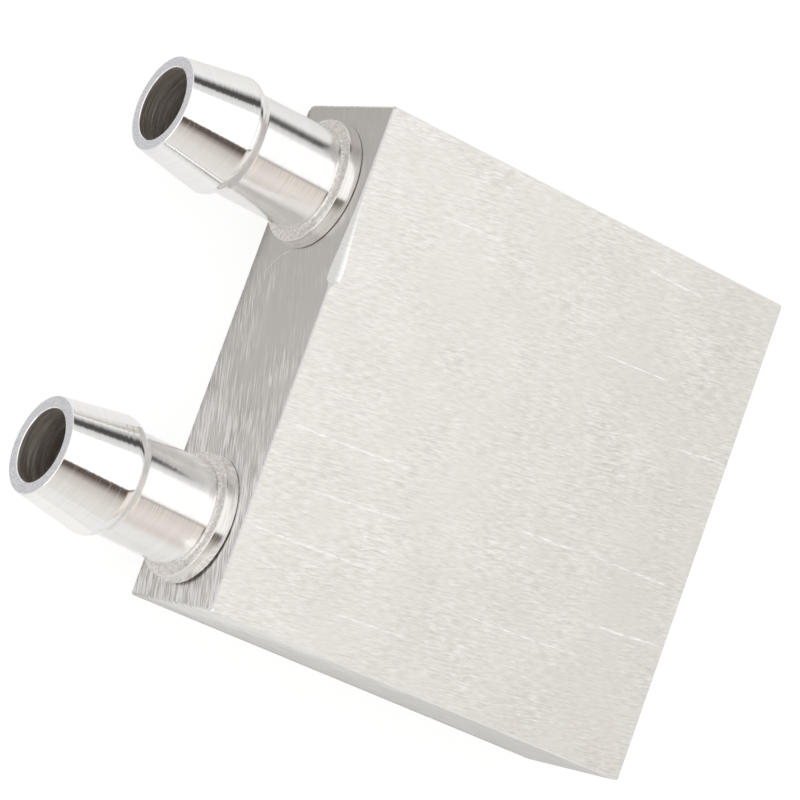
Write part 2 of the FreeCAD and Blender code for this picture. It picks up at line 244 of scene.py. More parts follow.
for name, card in cards.items():
    material, tree = newMaterial(name)
    place = addNode(tree, "ShaderNodeTexCoord")
    across = addNode(tree, "ShaderNodeSeparateXYZ", links={0: place.outputs["UV"]})
    along = addNode(tree, "ShaderNodeSeparateXYZ", links={0: place.outputs["Object"]})
    tone = across.outputs["Y"]
    if "ragged" in card:
        stray = addNode(tree, "ShaderNodeTexNoise",
                        {"noise_dimensions": "1D", "Scale": 1 / studio["strayPitch"],
                         "Detail": studio["strayDetail"]}, {"W": along.outputs["X"]})
        tone = addNode(tree, "ShaderNodeMath", {"operation": "MULTIPLY_ADD", 1: card["ragged"]},
                       {0: stray.outputs["Fac"], 2: tone}).outputs[0]
        tone = addNode(tree, "ShaderNodeMath", {"operation": "SUBTRACT", 1: card["ragged"] / 2},
                       {0: tone}).outputs[0]
    colour = addNode(tree, "ShaderNodeValToRGB", {"stops": card["stops"]}, {"Fac": tone}).outputs[0]
    if "farStops" in card:  # other tones for larger X
        other = addNode(tree, "ShaderNodeValToRGB", {"stops": card["farStops"]}, {"Fac": tone}).outputs[0]
        nearX, farX = card["farFrom"]
        far = addNode(tree, "ShaderNodeMapRange", {"From Min": nearX, "From Max": farX},
                      {"Value": along.outputs["X"]}).outputs[0]
        colour = addNode(tree, "ShaderNodeMix", {"data_type": "RGBA"},
                         {0: far, 6: colour, 7: other}).outputs[2]
    shade = addNode(tree, "ShaderNodeEmission", {"Strength": card.get("strength", 1.0)}, {"Color": colour})
    if "oneWay" in card:  # clear from behind, and to every ray past the first reflection, whose depth is 1
        rays = addNode(tree, "ShaderNodeLightPath")
        back = addNode(tree, "ShaderNodeNewGeometry").outputs["Backfacing"]
        late = addNode(tree, "ShaderNodeMath", {"operation": "GREATER_THAN", 1: 1.5},
                       {0: rays.outputs["Ray Depth"]})
        gone = addNode(tree, "ShaderNodeMath", {"operation": "MAXIMUM"}, {0: late.outputs[0], 1: back})
        clear = addNode(tree, "ShaderNodeBsdfTransparent")
        shade = addNode(tree, "ShaderNodeMixShader",
                        links={"Fac": gone.outputs[0], 1: shade.outputs[0], 2: clear.outputs[0]})
    addNode(tree, "ShaderNodeOutputMaterial", links={"Surface": shade.outputs[0]})
    piece = meshPiece(name, np.array(card["corners"]), [(0, 1, 2, 3)], [material])
    layer = piece.data.uv_layers.new(name="across")
    layer.data.foreach_set("uv", np.array([0, 0, 1, 0, 1, 1, 0, 1], np.float32))
    piece.visible_camera = piece.visible_diffuse = piece.visible_shadow = piece.visible_transmission = False
print("studio and camera placed")


# aluminium finishes

def faceTurn(along, normal):
    # the turn that lays X along a line in a face and Z along the face's normal
    along, normal = Vector(along).normalized(), Vector(normal).normalized()
    return Matrix((along, normal.cross(along), normal)).transposed().to_euler()


def heading(angle, first, second):
    # a direction at an angle from one axis towards another
    return Vector(first) * math.cos(math.radians(angle)) + Vector(second) * math.sin(math.radians(angle))


brushMarks = {  # common to all brushed faces
    "noiseRoughness": 0.6, "cloudDetail": 3.0, "patchDetail": 1.0,
    "skew": 1.7,  # a seed moves its pattern this many times as far across as along
    "glintSpan": 0.08,  # noise from a glint's edge to its full light
    "breaks": (0.35, 0.65), "faintest": 0.25,  # where the fine dashes break a scratch, and its light there
    "fadeFrom": 0.3,  # share of a scratch's length from its middle where its ends begin to fade
    "depth": 0.02,  # mm
}


def scratchMask(tree, place, normal, scratches):
    # Each scratch is a thin bent line, y = 4 bow / length squared * x squared in its own frame: 1 on the
    # line, fading over its width and towards both ends. The strongest scratch wins.
    total = None
    for start, along, length, width, bow in scratches:  # mm, and a direction
        own = addNode(tree, "ShaderNodeMapping", {"vector_type": "TEXTURE", "Location": Vector(start) * mm,
                      "Rotation": faceTurn(along, normal)}, {"Vector": place})
        own = addNode(tree, "ShaderNodeSeparateXYZ", links={0: own.outputs[0]})
        square = addNode(tree, "ShaderNodeMath", {"operation": "MULTIPLY"},
                         {0: own.outputs["X"], 1: own.outputs["X"]})
        off = addNode(tree, "ShaderNodeMath", {"operation": "MULTIPLY_ADD", 1: -4 * bow / length ** 2 / mm},
                      {0: square.outputs[0], 2: own.outputs["Y"]})
        off = addNode(tree, "ShaderNodeMath", {"operation": "ABSOLUTE"}, {0: off.outputs[0]})
        line = addNode(tree, "ShaderNodeMapRange", {"From Max": width * mm, "To Min": 1.0, "To Max": 0.0},
                       {"Value": off.outputs[0]})
        far = addNode(tree, "ShaderNodeMath", {"operation": "ABSOLUTE"}, {0: own.outputs["X"]})
        ends = addNode(tree, "ShaderNodeMapRange",
                       {"From Min": brushMarks["fadeFrom"] * length * mm, "From Max": length / 2 * mm,
                        "To Min": 1.0, "To Max": 0.0}, {"Value": far.outputs[0]})
        mask = addNode(tree, "ShaderNodeMath", {"operation": "MULTIPLY"},
                       {0: line.outputs[0], 1: ends.outputs[0]})
        if total is not None:
            mask = addNode(tree, "ShaderNodeMath", {"operation": "MAXIMUM"}, {0: mask.outputs[0], 1: total})
        total = mask.outputs[0]
    return total


def brushedAluminium(name, grain):
    # Brushed aluminium, 6063 alloy drawn over an abrasive belt: silvery with a warm tint, and short fine
    # dashes. Those that catch the light one by one are painted highlights, white mixed into the base colour,
    # and so is the light along the scratches. Object coordinates are metres, so a pattern that is w mm
    # wide has scale 1000 / w. Real brush lines are about 0.05 mm wide, and the finest here are drawn about
    # three times coarser to show.
    material, tree = newMaterial(name)
    place = addNode(tree, "ShaderNodeTexCoord").outputs["Object"]
    lay = addNode(tree, "ShaderNodeMapping",
                  {"vector_type": "TEXTURE", "Rotation": faceTurn(grain["along"], grain["normal"])},
                  {"Vector": place})
    layers = []
    for length, width, seed, detail in grain["dashes"]:  # mm
        stretch = addNode(tree, "ShaderNodeMapping", {"Location": (seed, seed * brushMarks["skew"], 0),
                          "Scale": (1000 / length, 1000 / width, 0)}, {"Vector": lay.outputs[0]})
        noise = addNode(tree, "ShaderNodeTexNoise",
                        {"noise_dimensions": "2D", "Scale": 1.0, "Detail": detail,
                         "Roughness": brushMarks["noiseRoughness"]}, {"Vector": stretch.outputs[0]})
        layers.append(noise.outputs["Fac"])
    fine, coarse, glint = layers
    cloud = addNode(tree, "ShaderNodeTexNoise", {"Scale": 1000 / grain["cloud"],
                    "Detail": brushMarks["cloudDetail"]}, {"Vector": place}).outputs["Fac"]
    # tone: dashes, coarser streaks and slow clouding, each a share round one half, and a drift over the face
    tone = addNode(tree, "ShaderNodeMath", {"operation": "MULTIPLY_ADD", 1: grain["shares"][0],
                   2: 0.5 - sum(grain["shares"]) / 2}, {0: fine}).outputs[0]
    for share, layer in zip(grain["shares"][1:], (coarse, cloud)):
        tone = addNode(tree, "ShaderNodeMath", {"operation": "MULTIPLY_ADD", 1: share},
                       {0: layer, 2: tone}).outputs[0]
    level = addNode(tree, "ShaderNodeVectorMath",
                    {"operation": "DOT_PRODUCT", 1: Vector(grain["drift"]) / mm}, {0: place}).outputs["Value"]
    # the grain and its glints are stronger along the drift, and in patches where the belt bit harder
    patch = addNode(tree, "ShaderNodeMapping", {"Location": (grain["dashes"][0][2], 0, 0),
                    "Scale": [1000 / grain["patch"]] * 3}, {"Vector": place})
    patch = addNode(tree, "ShaderNodeTexNoise", {"Scale": 1.0, "Detail": brushMarks["patchDetail"]},
                    {"Vector": patch.outputs[0]}).outputs["Fac"]
    swell = addNode(tree, "ShaderNodeMath", {"operation": "MULTIPLY_ADD", 1: grain["swell"],
                    2: 1 - grain["patches"] / 2}, {0: level}).outputs[0]
    swell = addNode(tree, "ShaderNodeMath", {"operation": "MULTIPLY_ADD", 1: grain["patches"]},
                    {0: patch, 2: swell}).outputs[0]
    tone = addNode(tree, "ShaderNodeMath", {"operation": "SUBTRACT", 1: 0.5}, {0: tone}).outputs[0]
    tone = addNode(tree, "ShaderNodeMath", {"operation": "MULTIPLY_ADD", 2: 0.5},
                   {0: tone, 1: swell}).outputs[0]
    tone = addNode(tree, "ShaderNodeMath", {"operation": "ADD"}, {0: tone, 1: level}).outputs[0]
    colour = addNode(tree, "ShaderNodeValToRGB", {"stops": grain["colours"]}, {"Fac": tone}).outputs[0]
    # painted highlight: where the glint noise passes its threshold, white is mixed into the base colour below
    fullGlint = grain["glintFrom"] + brushMarks["glintSpan"]
    bright = addNode(tree, "ShaderNodeMapRange",
                     {"From Min": grain["glintFrom"], "From Max": fullGlint, "To Max": grain["glintShare"]},
                     {"Value": glint}).outputs[0]
    bright = addNode(tree, "ShaderNodeMath", {"operation": "MULTIPLY"}, {0: bright, 1: swell}).outputs[0]
    # the scratches are real marks; the white along them is a painted highlight
    if grain.get("scratches"):
        broken = addNode(tree, "ShaderNodeMapRange",
                         {"From Min": brushMarks["breaks"][0], "From Max": brushMarks["breaks"][1],
                          "To Min": brushMarks["faintest"], "To Max": 1.0}, {"Value": fine}).outputs[0]
        mask = scratchMask(tree, place, grain["normal"], grain["scratches"])
        mask = addNode(tree, "ShaderNodeMath", {"operation": "MULTIPLY"}, {0: mask, 1: broken}).outputs[0]
        mask = addNode(tree, "ShaderNodeMath", {"operation": "MULTIPLY", 1: grain["scratchHighlightShare"]},
                       {0: mask}).outputs[0]
        bright = addNode(tree, "ShaderNodeMath", {"operation": "MAXIMUM"}, {0: bright, 1: mask}).outputs[0]
    # the painted highlights of glints and scratches, mixed into the colour towards white
    colourWithPaintedHighlights = addNode(tree, "ShaderNodeMix", {"data_type": "RGBA", 7: linear("#FFFFFE")}, {0: bright, 6: colour})
    smoothest, roughest = grain["roughness"]
    rough = addNode(tree, "ShaderNodeMapRange", {"To Min": smoothest, "To Max": roughest}, {"Value": coarse})
    height = addNode(tree, "ShaderNodeMath", {"operation": "ADD"}, {0: fine, 1: coarse})
    bump = addNode(tree, "ShaderNodeBump", {"Strength": grain["bump"], "Distance": brushMarks["depth"] * mm},
                   {"Height": height.outputs[0]})
    shade = addNode(tree, "ShaderNodeBsdfPrincipled", {"Metallic": 1.0},
                    {"Base Color": colourWithPaintedHighlights.outputs[2], "Roughness": rough.outputs[0], "Normal": bump.outputs[0]})
    addNode(tree, "ShaderNodeOutputMaterial", links={"Surface": shade.outputs[0]})
    return material


alongX, alongY, up, down = (1, 0, 0), (0, 1, 0), (0, 0, 1), (0, 0, -1)
blockLow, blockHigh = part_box("block_body")
faceZ, faceX = blockHigh.z / mm, blockLow.x / mm  # the cold face and the nozzle face


def onColdFace(x, y, angle, length, width, bow=0.0):
    # a scratch in the cold face, its angle in degrees from X towards Y
    return (x, y, faceZ), heading(angle, alongX, alongY), length, width, bow


def onNozzleFace(y, z, angle, length, width, bow=0.0, towards=down):
    # a scratch in the nozzle face, its angle from Y downwards, or upwards where it says so
    return (faceX, y, z), heading(angle, alongY, towards), length, width, bow


coldFaceGrain = {
    "along": heading(9, alongX, alongY), "normal": up,
    "dashes": [(0.95, 0.18, 3.1, 2.0), (2.6, 0.34, 7.7, 2.0), (1.3, 0.14, 1.3, 1.0)],  # fine, coarse, glints
    "cloud": 6.0,  # mm
    "shares": (0.7, 0.35, 0.25),  # of fine dashes, coarse dashes and clouding in the tone
    "glintFrom": 0.68, "glintShare": 0.35,
    "drift": (-0.006, 0, 0),  # tone per mm
    "swell": 0.8,  # strength of the grain per unit of drift
    "patch": 6.0, "patches": 2.2,  # mm, and how far the grain's strength varies
    "colours": [(0.1, "#C8C5BF"), (0.5, "#DFDCD7"), (0.9, "#F2F0EC")],
    "roughness": (0.32, 0.46), "bump": 0.2,
    "scratchHighlightShare": 0.85,
    "scratches": [  # middle, angle, length, width and bow
        onColdFace(-14.0, -4.7, 2.7, 15.0, 0.13, 0.05), onColdFace(-11.0, -8.5, 5, 12.0, 0.1, 0.1),
        onColdFace(-14.5, -12.8, 2.2, 13.0, 0.12), onColdFace(6.0, -5.0, 3, 6.0, 0.12),
        onColdFace(15.0, -4.5, 2, 10.0, 0.1, 0.05), onColdFace(16.0, -9.3, 5.5, 8.0, 0.15),
        onColdFace(6.5, -12.6, 3, 13.0, 0.08, 0.1), onColdFace(-6.5, -16.4, 3.5, 8.0, 0.1),
        onColdFace(9.0, 17.6, -1, 7.0, 0.12, 0.1), onColdFace(8.5, 10.2, 3, 8.0, 0.08),
        onColdFace(-10.0, 14.3, 3, 7.0, 0.08), onColdFace(16.5, 6.0, 7, 7.0, 0.08),
    ],
}
nozzleFaceGrain = {
    "along": heading(25, alongY, down), "normal": (-1, 0, 0),
    "dashes": [(2.2, 0.13, 5.2, 2.0), (5.0, 0.35, 2.2, 2.0), (3.0, 0.13, 8.3, 1.0)],
    "cloud": 5.0, "shares": (0.48, 0.4, 0.3), "glintFrom": 0.6, "glintShare": 0.55,
    # painted light: the drift makes the face lighter towards -Y, and there its grain and painted glints grow
    # stronger too
    "drift": (0, -0.007, 0), "swell": 13.0, "patch": 4.0, "patches": 4.0,
    "colours": [(0.1, "#BBB8B4"), (0.5, "#D4D1CE"), (0.59, "#DCD9D6"), (0.68, "#F4F2F0"), (0.9, "#FFFFFE")],
    "roughness": (0.3, 0.45), "bump": 0.3,
    "scratchHighlightShare": 0.8,
    "scratches": [
        onNozzleFace(7.1, 3.0, 47, 5.0, 0.08, -0.75, up),
        onNozzleFace(-4.5, 9.5, 24, 5.0, 0.12), onNozzleFace(-6.0, 7.0, 10, 3.0, 0.15, 0.1),
        onNozzleFace(-7.5, 5.0, 30, 4.0, 0.12), onNozzleFace(-3.0, 4.0, 20, 3.5, 0.1, 0.1),
        onNozzleFace(-18.8, 4.0, 30, 3.0, 0.14), onNozzleFace(-18.0, 2.0, 27, 4.0, 0.12, 0.1),
    ],
}
# painted reflection: the sides are lighter towards the top and towards -X, standing in for the floor they
# mirror, darker in the object's contact shadow near the foot
sideGrain = dict(nozzleFaceGrain, along=alongX, normal=alongY, drift=(-0.01, 0, 0.02), swell=0.0, patches=1.6,
                 scratches=None, colours=[(0.5, "#CDCBC8"), (0.72, "#D2D0CD"), (0.88, "#F6F5F3")])
endGrain = dict(sideGrain, along=alongY, normal=alongX, drift=(0, 0, 0), colours=nozzleFaceGrain["colours"])
filedGrain = dict(coldFaceGrain, drift=(0, 0, 0), scratches=None, roughness=(0.22, 0.3),
                  colours=[(0.1, "#ECEBE8"), (0.5, "#F8F7F6"), (0.9, "#FFFFFE")])

coldFaceFinish = brushedAluminium("brushedAluminiumColdFace", coldFaceGrain)
nozzleFaceFinish = brushedAluminium("brushedAluminiumNozzleFace", nozzleFaceGrain)
sideFinish = brushedAluminium("brushedAluminiumSides", sideGrain)
endFinish = brushedAluminium("brushedAluminiumFarFace", endGrain)
filedFinish = brushedAluminium("filedAluminiumEdges", filedGrain)
# the channel finish keeps the sides' painted reflection drift
milledFinish = brushedAluminium("milledAluminiumChannel", dict(sideGrain, roughness=(0.25, 0.4)))


cutMarks = {"noiseRoughness": 0.5, "fineShare": 0.5, "depth": 0.04}  # depth in mm


def turnedAluminium(name, cut):
    # Aluminium turned on a lathe: bright, with fine rings round the axis that break the edge of every
    # reflection into teeth. A ring is narrow along X and keeps its height far round. Real feed marks are
    # about 0.1 mm apart, and the broader rings are drawn up to five times coarser to show.
    material, tree = newMaterial(name)
    place = addNode(tree, "ShaderNodeTexCoord").outputs["Object"]
    rings = []
    for width, reach, seed, detail in cut["rings"]:  # mm along the axis and round it
        stretch = addNode(tree, "ShaderNodeMapping", {"Location": (seed, seed, seed),
                          "Scale": (1000 / width, 1000 / reach, 1000 / reach)}, {"Vector": place})
        noise = addNode(tree, "ShaderNodeTexNoise",
                        {"Scale": 1.0, "Detail": detail, "Roughness": cutMarks["noiseRoughness"]},
                        {"Vector": stretch.outputs[0]})
        rings.append(noise.outputs["Fac"])
    broad, fine = rings
    smoothest, roughest = cut["roughness"]
    colour = addNode(tree, "ShaderNodeValToRGB", {"stops": cut["colours"]}, {"Fac": broad})
    rough = addNode(tree, "ShaderNodeMapRange", {"To Min": smoothest, "To Max": roughest}, {"Value": fine})
    height = addNode(tree, "ShaderNodeMath", {"operation": "MULTIPLY_ADD", 1: cutMarks["fineShare"]},
                     {0: fine, 2: broad})
    bump = addNode(tree, "ShaderNodeBump", {"Strength": cut["bump"], "Distance": cutMarks["depth"] * mm},
                   {"Height": height.outputs[0]})
    shade = addNode(tree, "ShaderNodeBsdfPrincipled", {"Metallic": 1.0},
                    {"Base Color": colour.outputs[0], "Roughness": rough.outputs[0],
                     "Normal": bump.outputs[0]})
    addNode(tree, "ShaderNodeOutputMaterial", links={"Surface": shade.outputs[0]})
    return material


coneFinish = turnedAluminium("turnedAluminiumBarb", {
    "rings": [(0.32, 9.0, 4.0, 2.0), (0.12, 4.0, 9.0, 1.0)], "colours": [(0.3, "#F8F7F6"), (0.7, "#FDFDFC")],
    "roughness": (0.06, 0.12), "bump": 0.65})
neckFinish = turnedAluminium("turnedAluminiumNeck", {
    "rings": [(0.5, 9.0, 1.0, 2.0), (0.15, 4.0, 5.0, 1.0)], "colours": [(0.3, "#F4F3F2"), (0.7, "#FAF9F8")],
    "roughness": (0.13, 0.2), "bump": 0.2})
rimFinish = turnedAluminium("turnedAluminiumRim", {
    "rings": [(0.3, 4.0, 3.0, 2.0), (0.12, 1.5, 8.0, 1.0)], "colours": [(0.3, "#E2DEDA"), (0.7, "#F2F0EE")],
    "roughness": (0.12, 0.2), "bump": 0.2})
flangeFinish = turnedAluminium("turnedAluminiumFlange", {
    "rings": [(0.2, 0.22, 4.0, 2.0), (0.12, 0.15, 9.0, 1.0)], "colours": [(0.3, "#C6C0BA"), (0.7, "#EBE8E4")],
    "roughness": (0.28, 0.4), "bump": 0.2})
facedFinish = turnedAluminium("facedAluminiumTip", {
    "rings": [(0.15, 0.15, 2.0, 2.0), (0.3, 0.3, 6.0, 1.0)], "colours": [(0.3, "#C6C6C7"), (0.7, "#E8E8E9")],
    "roughness": (0.30, 0.45), "bump": 0.3})
boreFinish = turnedAluminium("drilledAluminiumBore", {
    "rings": [(0.4, 5.0, 3.0, 2.0), (0.12, 3.0, 7.0, 1.0)], "colours": [(0.35, "#B5ACA4"), (0.65, "#E6DFD8")],
    "roughness": (0.38, 0.52), "bump": 0.9})

sealant = {  # cured, satin and grey-brown, mottled by its filler
    "speck": 0.4, "depth": 0.05,  # mm
    "colours": [(0.3, "#8F887E"), (0.7, "#B2ABA0")], "roughness": 0.5, "bump": 0.4, "detail": 3.0,
}
sealantFinish, tree = newMaterial("curedSealant")
place = addNode(tree, "ShaderNodeTexCoord").outputs["Object"]
speck = addNode(tree, "ShaderNodeTexNoise", {"Scale": 1000 / sealant["speck"], "Detail": sealant["detail"]},
                {"Vector": place}).outputs["Fac"]
colour = addNode(tree, "ShaderNodeValToRGB", {"stops": sealant["colours"]}, {"Fac": speck})
bump = addNode(tree, "ShaderNodeBump", {"Strength": sealant["bump"], "Distance": sealant["depth"] * mm},
               {"Height": speck})
shade = addNode(tree, "ShaderNodeBsdfPrincipled", {"Roughness": sealant["roughness"]},
                {"Base Color": colour.outputs[0], "Normal": bump.outputs[0]})
addNode(tree, "ShaderNodeOutputMaterial", links={"Surface": shade.outputs[0]})
print("materials made")


# nozzles

nozzle = {
    # mm, along the axis from the block's face outwards, and radii
    "length": 15.1, "seat": 0.025, "spigotEnd": 3.8,
    "bore": 2.9, "boreChamfer": 0.07, "tip": 3.76, "cone": 5.5, "crest": 4.7, "land": 0.4, "flank": 0.9,
    "neckFront": 4.06, "neckRoot": 4.13,
    "flange": 5.1, "flangeTaper": 0.14, "flangeThickness": 1.1, "spigot": 3.5,
    # roundings
    "mouthRound": 0.03, "tipRound": 0.1, "coneRound": 1.0, "crestRound": 1.05, "flankRound": 0.3,
    "fillet": 0.4, "rim": 0.12, "seatRound": 0.04,
    # where the finishes change
    "touching": 0.02, "filletZone": 0.3, "neckFrom": 0.4,
    "step": 0.09,  # between rows
    "segments": 192,
}
seal = {"step": 0.5, "segments": 96}  # mm between rows


def roundedOutline(corners, radii, step):
    # A closed outline of straight runs with rounded corners: each corner is cut back by r * tan(turn / 2)
    # on both sides and joined by an arc, then the whole is divided into steps of even length
    corners = np.array(corners, float)
    before, after = np.roll(corners, 1, 0), np.roll(corners, -1, 0)
    inward = (before - corners) / np.linalg.norm(before - corners, axis=1)[:, None]
    outward = (after - corners) / np.linalg.norm(after - corners, axis=1)[:, None]
    turn = np.pi - np.arccos(np.clip((inward * outward).sum(1), -1, 1))
    radii = np.array(radii, float)
    cut = radii * np.tan(turn / 2)
    arcStep, fewest = 0.6 * step, 4  # arcs have closer points
    bits = []
    for i in range(len(corners)):
        if radii[i] == 0:
            bits.append(corners[i][None])
            continue
        start, end = corners[i] + inward[i] * cut[i], corners[i] + outward[i] * cut[i]
        middle = inward[i] + outward[i]
        middle = corners[i] + middle / np.linalg.norm(middle) * radii[i] / np.cos(turn[i] / 2)
        count = max(fewest, int(math.ceil(turn[i] * radii[i] / arcStep)) + 1)
        share = np.linspace(0, 1, count)[:, None]
        a, b = start - middle, end - middle
        arc = np.sin((1 - share) * turn[i]) * a + np.sin(share * turn[i]) * b
        bits.append(middle + arc / np.sin(turn[i]))
    rough = np.concatenate(bits)
    rough = np.vstack([rough, rough[:1]])
    lengths = np.linalg.norm(np.diff(rough, axis=0), axis=1)
    counts = np.maximum(1, np.ceil(lengths / step - hair)).astype(int)
    return np.concatenate([rough[i] + (rough[i + 1] - rough[i]) * np.arange(n)[:, None] / n
                           for i, n in enumerate(counts)])


def revolve(name, outline, centre, face, fit, segments, materials, materialOfRow):
    # Surface of revolution about a line along X: (face - out, y + radius cos a, z + radius sin a), rows
    # (out, radius). What stands on the seat also leans and tilts: with across = radius cos a,
    # upward = radius sin a and rise = out - seat, y moves by rise tan(lean) + aside, and x by
    # across tan(tilt) + upward tan(other tilt)
    out, radius = outline[:, :1], outline[:, 1:]
    angle = np.linspace(0, 2 * np.pi, segments, endpoint=False)
    rows = len(outline)
    stands = out >= fit["seat"] - hair
    lean = math.tan(math.radians(fit["lean"]))
    tilt = [math.tan(math.radians(turn)) for turn in fit["tilt"]]
    across, upward = radius * np.cos(angle), radius * np.sin(angle)
    points = np.stack([face - out + np.where(stands, across * tilt[0] + upward * tilt[1], 0),
                       centre[0] + across + np.where(stands, (out - fit["seat"]) * lean + fit["aside"], 0),
                       centre[1] + upward + 0 * out], -1)
    row, column = np.meshgrid(np.arange(rows), np.arange(segments), indexing="ij")
    here, right = row * segments, (column + 1) % segments
    above = (row + 1) % rows * segments
    quads = np.stack([here + column, here + right, above + right, above + column], -1)
    piece = meshPiece(name, points.reshape(-1, 3) * mm, quads.reshape(-1, 4).tolist(), materials,
                      np.repeat(materialOfRow, segments))
    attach(piece, "root")
    return piece


def makeNozzle(side, fit):
    n = nozzle
    low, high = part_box(side + "_nozzle")
    centre = ((low.y + high.y) / 2 / mm, (low.z + high.z) / 2 / mm)
    face = low.x / mm + n["length"]  # X of the block's face, mm
    # the tilted flange's rim stays off the block
    seat = n["seat"] + n["flange"] * math.tan(math.radians(math.hypot(*fit["tilt"])))
    fit = dict(fit, seat=seat)
    tipEnd, more = n["length"] - fit["short"], fit["more"]
    coneEnd = tipEnd - n["cone"]
    landEnd = coneEnd - n["land"]
    flankEnd = landEnd - n["flank"]
    flangeTop = seat + n["flangeThickness"]
    mouth, crest = n["bore"] + n["boreChamfer"], n["crest"] + more / 2
    corners = [  # (out from the face, radius, rounding), from the mouth over the outside and back by the bore
        (tipEnd, mouth, n["mouthRound"]),
        (tipEnd, n["tip"] + more, n["tipRound"]),
        (coneEnd, crest, n["coneRound"]),
        (landEnd, crest, n["crestRound"]),
        (flankEnd, n["neckFront"] + more, n["flankRound"]),
        (flangeTop, n["neckRoot"] + more, n["fillet"]),
        (flangeTop, n["flange"] - n["flangeTaper"], n["rim"]),
        (seat, n["flange"], n["seatRound"]),
        (seat, n["spigot"], 0),
        (-n["spigotEnd"], n["spigot"], 0),
        (-n["spigotEnd"], n["bore"], 0),
        (tipEnd - n["boreChamfer"], n["bore"], n["mouthRound"]),
    ]
    outline = roundedOutline([corner[:2] for corner in corners], [corner[2] for corner in corners], n["step"])
    after = np.roll(outline, -1, 0)
    out, radius = outline[:, 0], outline[:, 1]
    inBore = (radius < n["bore"] + n["touching"]) & (after[:, 1] < n["bore"] + n["touching"])
    atMouth = (radius < mouth) & (after[:, 1] < mouth)
    onTip = (out > tipEnd - n["touching"]) & (after[:, 0] > tipEnd - n["touching"])
    onRim = (out < flangeTop - n["touching"]) & (radius > n["flange"] - n["rim"] - n["flangeTaper"])
    onFlange, onNeck = out < flangeTop + n["filletZone"], out < coneEnd - n["neckFrom"]
    cone, neck, flange, faced, bore, rim = range(6)
    kind = np.select([inBore, atMouth, onTip, onRim, onFlange, onNeck],
                     [bore, cone, faced, rim, flange, neck], cone)
    piece = revolve(side + "Nozzle", outline, centre, face, fit, n["segments"],
                    [coneFinish, neckFinish, flangeFinish, facedFinish, boreFinish, rimFinish], kind)
    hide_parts(side + "_nozzle")
    # the film of sealant between flange and block, thinner where the flange tilts in
    film = [(seat, n["spigot"]), (seat, fit["film"]), (0, fit["film"]), (0, n["spigot"])]
    film = roundedOutline(film, [0, 0, 0, 0], seal["step"])
    piece = revolve(side + "Seal", film, centre, face, fit, seal["segments"], [sealantFinish],
                    np.zeros(len(film), int))
    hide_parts(side + "_seal")


# each nozzle as it was fitted by hand: lean of the barrel and tilts of the flange in degrees, then in mm how
# far aside, how short and how much thicker it is, and the sealant's outer radius
inletFit = {"lean": 1.3, "tilt": (0.15, 0.0), "aside": 0.0, "short": 0.17, "more": 0.0, "film": 4.98}
outletFit = {"lean": 2.1, "tilt": (1.1, 1.5), "aside": -0.1, "short": 0.62, "more": 0.09, "film": 4.75}
makeNozzle("inlet", inletFit)
makeNozzle("outlet", outletFit)
print("nozzles turned")


# block

block = {
    # mm
    "corner": 0.3, "margin": 0.12, "step": 0.1,
    "break": 0.1, "waver": 0.015, "burr": 0.03,  # broken edges
    "topWaver": (3.1, 5), "lowWaver": (2.7, 8),  # pitch and seed
    "topBurr": (0.35, 6), "lowBurr": (0.4, 9), "filedBurr": (0.5, 3),
    "filedAt": [5.2, 5.7, 6.1, 6.8, 8.2, 10.2, 12.6, 20],  # Y along the filed edge, and its legs there
    "filedLeg": [0, 0.1, 0.72, 0.78, 0.64, 0.4, 0.2, 0.1],
    "merge": 0.001, "sliver": 0.002,  # points this close are joined, before the cuts and after
    "edgeZone": 0.6,  # how deep a wall's own finish reaches
    "flat": 0.1, "sharp": 28,  # degrees
}
knock = {  # knocked corner: nozzle face, +Y side, underside
    "depth": 0.42, "radius": 1.6, "lumps": 0.1,  # mm
    "turnWaves": (23, 11), "liftWaves": (9, 17, 31),  # lumps round the ball and up it
    "around": 96, "upward": 49,  # grid
}


def lumpyBall(k, corner, outwards):
    # Ball whose centre stands outside a corner, on its diagonal, so that it dips in by the depth. Its reach
    # is radius + lumps * (sin(a turn + c lift) cos(d lift) + sin(b turn - e lift) / 2), with the turn
    # waves a and b and the lift waves c, d and e
    turn, lift = np.meshgrid(np.linspace(0, 2 * np.pi, k["around"], endpoint=False),
                             np.linspace(-np.pi / 2, np.pi / 2, k["upward"])[1:-1])
    a, b = k["turnWaves"]
    c, d, e = k["liftWaves"]
    waves = np.sin(turn * a + lift * c) * np.cos(lift * d) + 0.5 * np.sin(turn * b - lift * e)
    reach = k["radius"] + k["lumps"] * waves
    ball = np.stack([reach * np.cos(lift) * np.cos(turn), reach * np.cos(lift) * np.sin(turn),
                     reach * np.sin(lift)], -1)
    ball = np.concatenate([ball.reshape(-1, 3), [[0, 0, -k["radius"]], [0, 0, k["radius"]]]])
    ball += np.array(corner) + np.array(outwards) / math.sqrt(3) * (k["radius"] - k["depth"])
    around, last = k["around"], k["upward"] - 3
    row, column = np.meshgrid(np.arange(last), np.arange(around), indexing="ij")
    here, right = row * around, (column + 1) % around
    quads = np.stack([here + column, here + right, here + around + right, here + around + column], -1)
    ring = np.arange(around)
    after = (ring + 1) % around
    foot, head, top = (last + 1) * around, (last + 1) * around + 1, last * around
    caps = np.stack([np.full(around, foot), after, ring], -1).tolist()
    caps += np.stack([np.full(around, head), top + ring, top + after], -1).tolist()
    return ball, quads.reshape(-1, 4).tolist() + caps


